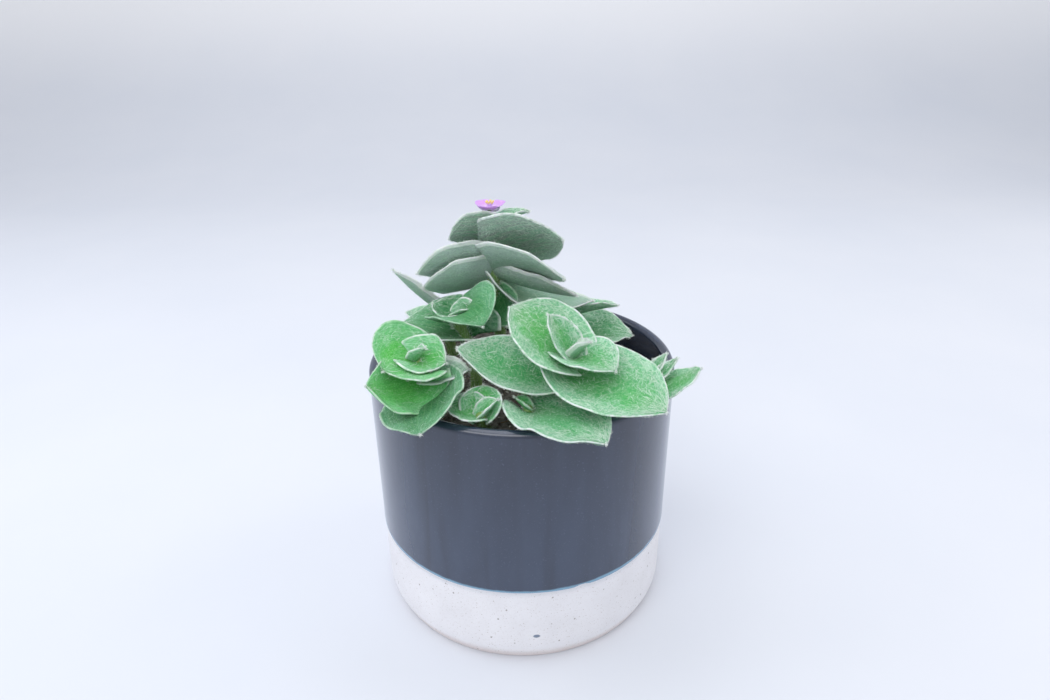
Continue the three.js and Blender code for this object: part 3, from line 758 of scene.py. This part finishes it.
class Piece:
    """Gathers points, faces and per-point numbers for one mesh."""

    def __init__(self):
        self.points, self.faces, self.slots = [], [], []
        self.numbers = {"place": [], "share": [], "tone": []}
        self.count = 0

    def add(self, points, faces, slot, place, share, tone):
        """A closed skin, with the three vectors that its material reads."""
        self.points.append(points)
        self.faces += [tuple(self.count + i for i in face) for face in faces]
        self.slots += [slot] * len(faces)
        for key, values in (("place", place), ("share", share), ("tone", tone)):
            self.numbers[key].append(np.broadcast_to(values, points.shape))
        self.count += len(points)

    def ribbons(self, points, normals, width, white=1.0, slot=WOOL_SLOT):
        """Hairs as flat tapering ribbons: points is hairs by steps by 3, and each ends in a tip."""
        hairs, steps = points.shape[:2]
        run = unit(np.gradient(points, axis=1))
        wide = unit(np.cross(run, normals)) * width / 2
        left, right = points[:, :-1] - wide[:, :-1], points[:, :-1] + wide[:, :-1]
        block = np.concatenate([left, right, points[:, -1:]], axis=1)
        size = block.shape[1]
        start = np.arange(hairs)[:, None] * size
        last = steps - 1
        for k in range(last - 1):
            quad = start + np.array([[k, last + k, last + k + 1, k + 1]])
            self.faces += (quad + self.count).tolist()
        tip = start + np.array([[last - 1, 2 * last - 1, 2 * last]])
        self.faces += (tip + self.count).tolist()
        self.slots += [slot] * (hairs * last)
        flat = block.reshape(-1, 3)
        self.points.append(flat)
        self.numbers["place"].append(flat)
        share = np.zeros((hairs, size, 3))
        share[:, :, 0] = np.reshape(white, (-1, 1))
        self.numbers["share"].append(share.reshape(-1, 3))
        self.numbers["tone"].append(np.zeros_like(flat))
        self.count += len(flat)

    def finish(self, name, looks):
        """The object that all of this makes."""
        attributes = {key: np.vstack(values) for key, values in self.numbers.items()}
        return make_mesh(name, np.vstack(self.points), self.faces, looks, self.slots, attributes)


# Coats of lying hairs: the face (1 above, -1 below), hairs on each square millimetre, the longest
# hair, its width, and the points along it. Fine short hairs come first, and then fewer long strands in
# which hairs have clung together.
FINE_POINTS, STRAND_POINTS = 3, 5
COATS = (
    (1, 2.6, 3.2, 0.04, FINE_POINTS),
    (-1, 1.8, 3.2, 0.04, FINE_POINTS),
    (1, 1.3, 5.6, 0.088, STRAND_POINTS),
    (-1, 0.8, 5.6, 0.088, STRAND_POINTS),
)
BLADE_FILL, ROOT_LIFT = 0.7, 0.04
FRINGE_DENSITY, FRINGE_CLUMPS, THIN_FRINGE, THICK_FRINGE, THICK_FROM = 28, 110, 0.06, 0.11, 0.85
TUFT_HAIRS, TUFT_WIDTH = 46, 0.13


def lay_coat(piece, blade, wool, coat, rng):
    """One coat of lying hairs on a face. They wander, and leave the middle near the base barer."""
    side, density, longest, width, joints = coat
    leaf = blade.leaf
    area = leaf["length"] * leaf["width"] * BLADE_FILL
    cover = wool if joints == FINE_POINTS else min(wool * min(1, 2.2 * wool), 1.7 - wool)
    count = int(area * density * cover)
    u, v = rng.uniform(0.02, 0.97, count), rng.uniform(-0.96, 0.96, count)
    bare = 0.72 * np.clip(1.25 - 1.5 * np.maximum(np.abs(v), 1.6 * u - 0.8), 0, 1)
    kept = rng.random(count) > bare
    u, v, count = u[kept], v[kept], int(kept.sum())
    reach = longest * (0.25 + 0.75 * rng.random(count) ** 2)
    turn = (rng.normal(0, 0.95, count) + rng.choice([0, math.pi], count))[:, None]
    steps = np.linspace(0, 1, joints)[None, :]
    turn = turn + rng.normal(0, 0.75, (count, 1)) * steps
    turn = turn + rng.normal(0, 0.5, (count, 1)) * np.sin(5 * steps)
    run = np.cumsum(np.cos(turn), axis=1) - np.cos(turn[:, :1])
    drift = np.cumsum(np.sin(turn), axis=1) - np.sin(turn[:, :1])
    stride = (reach / (joints - 1))[:, None]
    us = np.clip(u[:, None] + run * stride / leaf["length"], 0, 1)
    vs = np.clip(v[:, None] + drift * stride / (leaf["width"] / 2), -1, 1)
    normal = blade.normal(us, vs) * side
    skin = blade.thickness * (1 - EDGE_THINNING * vs * vs) / 2
    arch = rng.uniform(0.1, 0.8, (count, 1)) * steps * (1 - steps) * 2
    lift = skin + ROOT_LIFT + arch + 0.08 * steps
    white = (0.25 + 0.75 * rng.random(count)) * min(0.5 + 0.7 * wool, 1.15 - 0.35 * wool)
    piece.ribbons(blade.surface(us, vs) + normal * lift[..., None], normal, width, white)


def fringe_margins(piece, blade, wool, rng):
    """Hairs that stand out from both margins in uneven clumps, and bend towards the tip."""
    leaf = blade.leaf
    count = int(leaf["length"] * FRINGE_DENSITY * min(1, wool * 3))
    u = rng.uniform(0.0, 1.0, count) ** 0.9
    side = rng.choice([-1.0, 1.0], count)
    start_v = side * rng.uniform(0.93, 1.0, count)
    at_edge, inner = blade.surface(u, start_v), blade.surface(u, start_v - side * 0.1)
    outward, normal = unit(at_edge - inner), blade.normal(u, side)
    after, before = np.minimum(u + 0.02, 1), np.maximum(u - 0.02, 0)
    forward = unit(blade.surface(after, side) - blade.surface(before, side))
    lean = rng.normal(0, 0.75, (count, 2))
    aim = unit(outward + normal * lean[:, :1] + forward * (lean[:, 1:] + 0.3))
    clumps = 0.15 + 1.5 * rng.random(FRINGE_CLUMPS) ** 1.5
    clump = np.interp(u + (side > 0), np.linspace(0, 2, FRINGE_CLUMPS), clumps)
    reach = (rng.uniform(0.3, 1.25, count) * clump)[:, None]
    bent = aim + forward * rng.normal(0.4, 0.7, (count, 1))
    bent = unit(bent + normal * rng.normal(0, 0.5, (count, 1)))
    middle = at_edge + aim * reach * 0.55
    points = np.stack([at_edge, middle, middle + bent * reach * 0.45], 1)
    piece.ribbons(points, normal[:, None], THIN_FRINGE if wool < THICK_FROM else THICK_FRINGE)


def tuft_tip(piece, blade, rng):
    """A small tuft that runs on from the leaf's tip."""
    tip = blade.surface(np.array(1.0), np.array(0.0))
    ahead = unit(tip - blade.surface(np.array(0.93), np.array(0.0)))
    aim = unit(ahead + rng.normal(0, 0.55, (TUFT_HAIRS, 3)))
    start = tip + rng.normal(0, 0.25, (TUFT_HAIRS, 3))
    reach = rng.uniform(0.5, 1.3, TUFT_HAIRS)[:, None]
    end = start + unit(aim + rng.normal(0, 0.3, (TUFT_HAIRS, 3))) * reach
    normal = unit(rng.normal(0, 1, (TUFT_HAIRS, 3)))
    piece.ribbons(np.stack([start, start + aim * reach / 2, end], 1), normal[:, None], TUFT_WIDTH)


STEM_BANDS, STEM_SIDES, NODE_SWELL = 44, 16, 0.45
STEM_HAIRS, NODE_HAIRS, STEM_HAIR_WIDTH = 14, 50, 0.09


def grow_stem(piece, shoot, rng):
    """The stem as a tube that swells below each leaf, where it carries a ring of long hairs."""
    t = np.linspace(0, 1, STEM_BANDS + 1)
    centre = bend_point(shoot["stem"], t)
    run = unit(np.gradient(centre, axis=0))
    first = unit(np.cross(np.array([0, 1.0, 0]), run))
    second = np.cross(run, first)
    length = np.concatenate([[0], np.cumsum(np.linalg.norm(np.diff(centre, axis=0), axis=1))])
    radius = STEM_FOOT_RADIUS + (STEM_TOP_RADIUS - STEM_FOOT_RADIUS) * t
    for leaf in shoot["leaves"]:
        at = np.interp(leaf["at"], t, length)
        swell = NODE_SWELL * np.exp(-((length - at + 1.5) / 2.2) ** 2)
        radius = radius + swell * (0.4 + radius / 4)
    turn = 2 * math.pi * np.arange(STEM_SIDES) / STEM_SIDES
    spoke = first[:, None] * np.cos(turn)[None, :, None] + second[:, None] * np.sin(turn)[None, :, None]
    points = (centre[:, None] + spoke * radius[:, None, None]).reshape(-1, 3)
    place = np.stack(np.broadcast_arrays(length[:, None], turn[None, :] * 2.2, 7.0), -1).reshape(-1, 3)
    tone = (0.5, shoot["leaves"][0].get("purple", USUAL_PURPLE), 0)
    piece.add(points, tube_faces(STEM_BANDS, STEM_SIDES), STEM_SLOT, place, (0.5, 0, 0), tone)

    spots = rng.uniform(0.2, 1, int(length[-1] * STEM_HAIRS))
    for leaf in shoot["leaves"]:
        ring = np.clip(rng.normal(leaf["at"] - 0.01, 0.02, NODE_HAIRS), 0, 1)
        spots = np.concatenate([spots, ring])
    count = len(spots)
    turn = rng.uniform(0, 2 * math.pi, count)[:, None]
    base, ahead = bend_point(shoot["stem"], spots), between(spots, t, run)
    outward = unit(between(spots, t, first) * np.cos(turn) + between(spots, t, second) * np.sin(turn))
    start = base + outward * np.interp(spots, t, radius)[:, None]
    aim = unit(outward + ahead * rng.normal(0.6, 0.5, (count, 1)))
    reach = rng.uniform(0.8, 2.2, count)[:, None]
    middle = start + aim * reach * 0.5
    points = np.stack([start, middle, middle + unit(aim + ahead * 0.6) * reach * 0.5], 1)
    piece.ribbons(points, np.cross(outward, ahead)[:, None], STEM_HAIR_WIDTH)


for number, (name, shoot) in enumerate(SHOOTS.items()):
    rng = np.random.default_rng(100 + number)
    growth = Piece()
    grow_stem(growth, shoot, rng)
    for k, leaf in enumerate(shoot["leaves"]):
        purple, wool = leaf.get("purple", USUAL_PURPLE), leaf.get("wool", USUAL_WOOL)
        blade = Blade(shoot["stem"], leaf, (0.37 * k + 0.61 * number) % 1)
        skin, faces, place, share = blade.body()
        growth.add(skin, faces, SKIN_SLOT, place, share, (leaf["tone"], purple, wool))
        for coat in COATS:
            lay_coat(growth, blade, wool, coat, rng)
        fringe_margins(growth, blade, wool, rng)
        tuft_tip(growth, blade, rng)
    piece = growth.finish("leafy_" + name, [leaf_look, stem_look, wool_look])
    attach(piece, "root")
    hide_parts(name)

# ---- Flower ----
# Three thin lilac petals, paler towards the middle, on a short stalk at the top of the tall shoot,
# and a ring of stamens with bearded lilac filaments and yellow anthers.
FLOWER_CENTRE = np.array((-12, 13.2, 165.4))
PETAL = dict(at=0, rise=42, curl=34, length=7.5, width=9, roll=0, fold=-4, clasp=-4,
             thickness=0.45, wave=0.35)
PETAL_HEADINGS = (-100, 20, 140)
# Radius and height above the flower's centre.
STALK, STALK_SIDES = [(0.9, -1.8), (0.95, -1.0), (1.1, -0.3), (1.35, 0.3), (1.2, 0.6)], 12

petal_look = Look("lilac_petal", Roughness=0.5, Subsurface_Weight=0.5,
                  Subsurface_Radius=(0.003, 0.002, 0.0035), Subsurface_Scale=1.0, Sheen_Weight=0.2)
spot = petal_look.attribute("place")
u = petal_look.split(petal_look.attribute("share"))[0]
lilac = petal_look.mix(u.ramp(0.1, 0.6), paint("f5e8ff"), paint("d094fa"))
streak = petal_look.noise(petal_look.stretch(spot, (0.5, 4.0, 1)), 1.0, 4, 0.6)
petal_look.set(Base_Color=petal_look.mix(streak.ramp(0.45, 0.7) * 0.4, lilac, paint("bb79f0")))
petal_look.bump(streak, 0.12, 0.5)


def thin_tube(foot, outline, sides, lean):
    """Points and faces of a round tube: outline gives its radius at each height above its foot."""
    turns = 2 * math.pi * np.arange(sides) / sides
    points = [foot + lean * h + [r * math.cos(turn), r * math.sin(turn), h]
              for r, h in outline for turn in turns]
    return np.array(points), tube_faces(len(outline) - 1, sides)


flower = Piece()
for k, heading in enumerate(PETAL_HEADINGS):
    blade = Blade([FLOWER_CENTRE] * 3, dict(PETAL, heading=heading), 0.31 * k)
    skin, faces, place, share = blade.body()
    flower.add(skin, faces, SKIN_SLOT, place, share, (1, 0, 0))
points, faces = thin_tube(FLOWER_CENTRE, STALK, STALK_SIDES, np.zeros(3))
flower.add(points, faces, STEM_SLOT, points, (0.1, 0, 1), (0.6, 0.2, 0))
petals = flower.finish("petals", [petal_look, stem_look])
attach(petals, "root")
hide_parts("flower_petals")

anther_look = Look("yellow_anther", Roughness=0.8)
spot = anther_look.place()
height = anther_look.split(spot)[2]
grain = anther_look.noise(spot, 0.25, 3)
pollen = anther_look.mix(grain, paint("e9c94a"), paint("f8ecb0"))
anther_look.set(Base_Color=anther_look.mix(height.ramp(167.8, 168.4), paint("e6cdf8"), pollen))
anther_look.bump(grain, 0.08, 0.6)

# A stamen's filament and, from 1.9 mm up, its anther.
STAMEN = [(0.16, 0.0), (0.13, 0.8), (0.12, 1.6), (0.14, 1.9), (0.42, 2.05), (0.5, 2.4), (0.4, 2.75),
          (0.12, 2.95)]
STAMEN_COUNT, STAMEN_SIDES, STAMEN_LEAN, STAMEN_RING = 6, 8, 0.35, 0.55
STAMEN_FOOT, FIRST_TURN = 1.2, 0.3
BEARD_HAIRS, BEARD_WIDTH, BEARD_SLOT = 30, 0.06, 1
rng = np.random.default_rng(9)
stamens = Piece()
for k in range(STAMEN_COUNT):
    turn = 2 * math.pi * k / STAMEN_COUNT + FIRST_TURN
    lean = np.array([math.cos(turn), math.sin(turn), 0]) * STAMEN_LEAN
    ring = np.array([STAMEN_RING * math.cos(turn), STAMEN_RING * math.sin(turn), STAMEN_FOOT])
    foot = FLOWER_CENTRE + ring
    points, faces = thin_tube(foot, STAMEN, STAMEN_SIDES, lean)
    stamens.add(points, faces, SKIN_SLOT, points, (0, 0, 0), (0, 0, 0))
    start = foot + lean + np.array([0, 0, 1.0]) * rng.uniform(0, 1.5, (BEARD_HAIRS, 1))
    aim = unit(rng.normal(0, 1, (BEARD_HAIRS, 3)) * (1, 1, 0.3))
    points = np.stack([start, start + aim * 0.4, start + aim * 0.7 + (0, 0, 0.15)], 1)
    normal = unit(rng.normal(0, 1, (BEARD_HAIRS, 3)))
    stamens.ribbons(points, normal[:, None], BEARD_WIDTH, slot=BEARD_SLOT)
stamens_piece = stamens.finish("stamens", [anther_look, petal_look])
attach(stamens_piece, "root")
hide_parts("flower_stamens")
